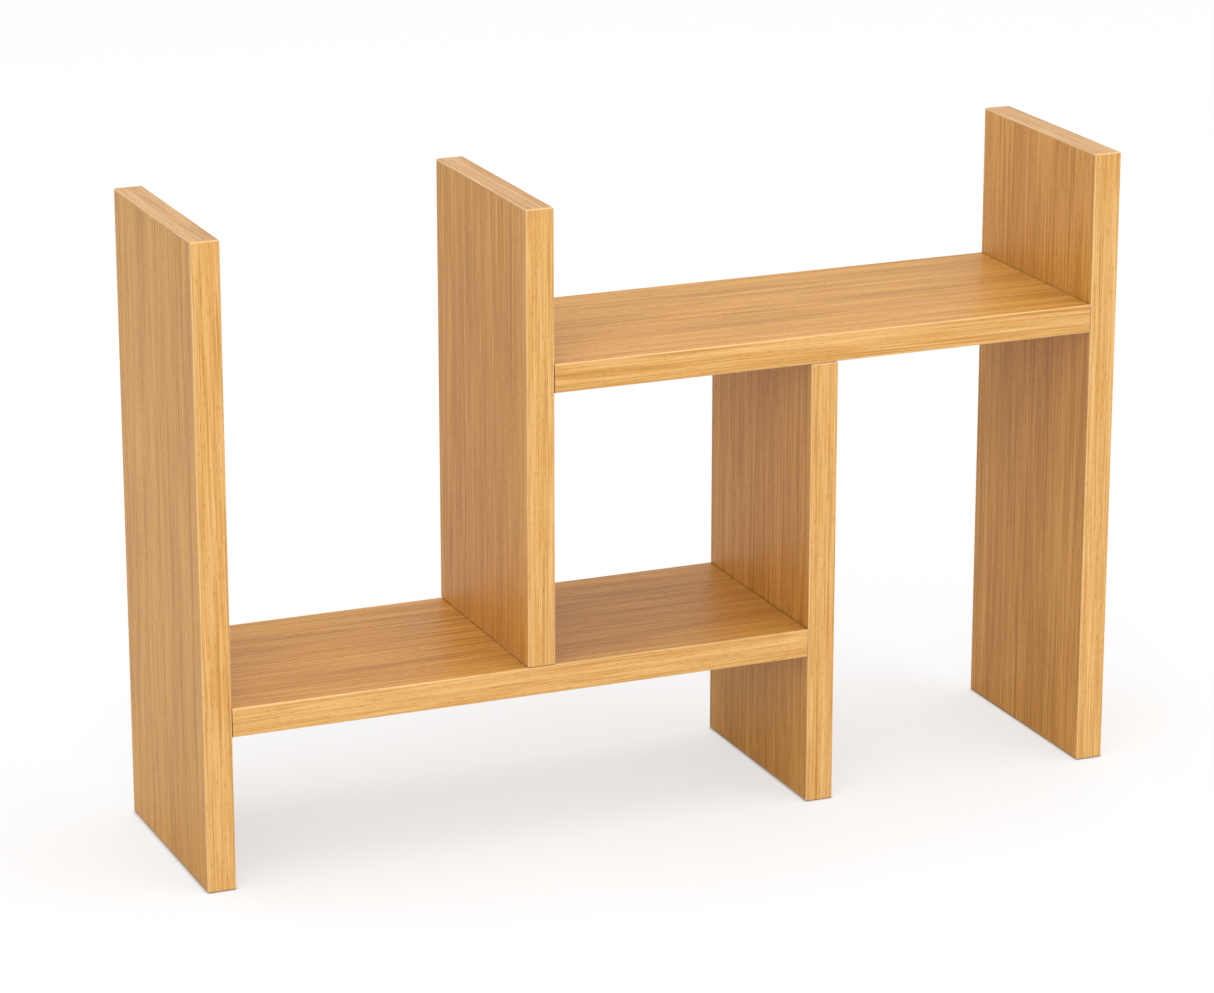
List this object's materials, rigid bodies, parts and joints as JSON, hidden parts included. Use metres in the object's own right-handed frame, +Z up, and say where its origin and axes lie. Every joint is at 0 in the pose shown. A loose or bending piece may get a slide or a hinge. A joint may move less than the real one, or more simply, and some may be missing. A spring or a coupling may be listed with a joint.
{
  "type": "extendable desktop shelf",
  "caption": "Extendable wooden desktop shelf: interlocking units of upright panels and a shelf slide apart sideways to hold books and papers",
  "frame": {"origin": "on the floor, in the middle of the overall width and depth as stored", "axes": "+X along the shelves, to the right seen from the front; +Y to the back; +Z up"},
  "size_m": [0.609, 0.15, 0.402],
  "materials": {
    "wood_veneer": "golden oak veneer, satin lacquer, grain along each board",
    "wood_edging": "golden oak edging, satin lacquer, grain along the strip, rounded arrises",
    "dowel_beech": "unfinished beech, fluted",
    "cam_metal": "zinc die casting, dull bright",
    "bolt_steel": "bright zinc-plated steel"
  },
  "bodies": {
    "lower_unit": {"lower_left_back_bolt": "bolt_steel", "lower_left_back_dowel": "dowel_beech", "lower_left_front_bolt": "bolt_steel", "lower_left_front_dowel": "dowel_beech", "lower_right_back_bolt": "bolt_steel", "lower_right_back_dowel": "dowel_beech", "lower_right_front_bolt": "bolt_steel", "lower_right_front_dowel": "dowel_beech", "lower_shelf_back_edging": "wood_edging", "lower_shelf_core": "wood_veneer", "lower_shelf_front_edging": "wood_edging", "lower_short_panel_back_edging": "wood_edging", "lower_short_panel_bottom_edging": "wood_edging", "lower_short_panel_core": "wood_veneer", "lower_short_panel_front_edging": "wood_edging", "lower_short_panel_top_edging": "wood_edging", "lower_tall_panel_back_edging": "wood_edging", "lower_tall_panel_bottom_edging": "wood_edging", "lower_tall_panel_core": "wood_veneer", "lower_tall_panel_front_edging": "wood_edging", "lower_tall_panel_top_edging": "wood_edging"},
    "upper_unit": {"upper_left_back_bolt": "bolt_steel", "upper_left_back_dowel": "dowel_beech", "upper_left_front_bolt": "bolt_steel", "upper_left_front_dowel": "dowel_beech", "upper_right_back_bolt": "bolt_steel", "upper_right_back_dowel": "dowel_beech", "upper_right_front_bolt": "bolt_steel", "upper_right_front_dowel": "dowel_beech", "upper_shelf_back_edging": "wood_edging", "upper_shelf_core": "wood_veneer", "upper_shelf_front_edging": "wood_edging", "upper_short_panel_back_edging": "wood_edging", "upper_short_panel_bottom_edging": "wood_edging", "upper_short_panel_core": "wood_veneer", "upper_short_panel_front_edging": "wood_edging", "upper_short_panel_top_edging": "wood_edging", "upper_tall_panel_back_edging": "wood_edging", "upper_tall_panel_bottom_edging": "wood_edging", "upper_tall_panel_core": "wood_veneer", "upper_tall_panel_front_edging": "wood_edging", "upper_tall_panel_top_edging": "wood_edging"},
    "lower_left_back_cam": {"lower_left_back_cam": "cam_metal"},
    "lower_left_front_cam": {"lower_left_front_cam": "cam_metal"},
    "lower_right_back_cam": {"lower_right_back_cam": "cam_metal"},
    "lower_right_front_cam": {"lower_right_front_cam": "cam_metal"},
    "upper_left_back_cam": {"upper_left_back_cam": "cam_metal"},
    "upper_left_front_cam": {"upper_left_front_cam": "cam_metal"},
    "upper_right_back_cam": {"upper_right_back_cam": "cam_metal"},
    "upper_right_front_cam": {"upper_right_front_cam": "cam_metal"}
  },
  "joints": [
    {"name": "upper_unit_slide", "type": "slide", "parent": "lower_unit", "child": "upper_unit", "axis": [1, 0, 0], "range_m": [-0.17575, 0.17075]},
    {"name": "lower_left_back_cam_turn", "type": "hinge", "parent": "lower_unit", "child": "lower_left_back_cam", "pos_m": [-0.2525, 0.023, 0.106], "axis": [0, 0, -1], "range_deg": [0, 180]},
    {"name": "lower_left_front_cam_turn", "type": "hinge", "parent": "lower_unit", "child": "lower_left_front_cam", "pos_m": [-0.2525, -0.023, 0.106], "axis": [0, 0, -1], "range_deg": [0, 180]},
    {"name": "lower_right_back_cam_turn", "type": "hinge", "parent": "lower_unit", "child": "lower_right_back_cam", "pos_m": [0.0585, 0.023, 0.106], "axis": [0, 0, -1], "range_deg": [0, 180]},
    {"name": "lower_right_front_cam_turn", "type": "hinge", "parent": "lower_unit", "child": "lower_right_front_cam", "pos_m": [0.0585, -0.023, 0.106], "axis": [0, 0, -1], "range_deg": [0, 180]},
    {"name": "upper_left_back_cam_turn", "type": "hinge", "parent": "upper_unit", "child": "upper_left_back_cam", "pos_m": [-0.0445, 0.023, 0.2962], "axis": [0, 0, -1], "range_deg": [0, 180]},
    {"name": "upper_left_front_cam_turn", "type": "hinge", "parent": "upper_unit", "child": "upper_left_front_cam", "pos_m": [-0.0445, -0.023, 0.2962], "axis": [0, 0, -1], "range_deg": [0, 180]},
    {"name": "upper_right_back_cam_turn", "type": "hinge", "parent": "upper_unit", "child": "upper_right_back_cam", "pos_m": [0.2525, 0.023, 0.2962], "axis": [0, 0, -1], "range_deg": [0, 180]},
    {"name": "upper_right_front_cam_turn", "type": "hinge", "parent": "upper_unit", "child": "upper_right_front_cam", "pos_m": [0.2525, -0.023, 0.2962], "axis": [0, 0, -1], "range_deg": [0, 180]}
  ]
}
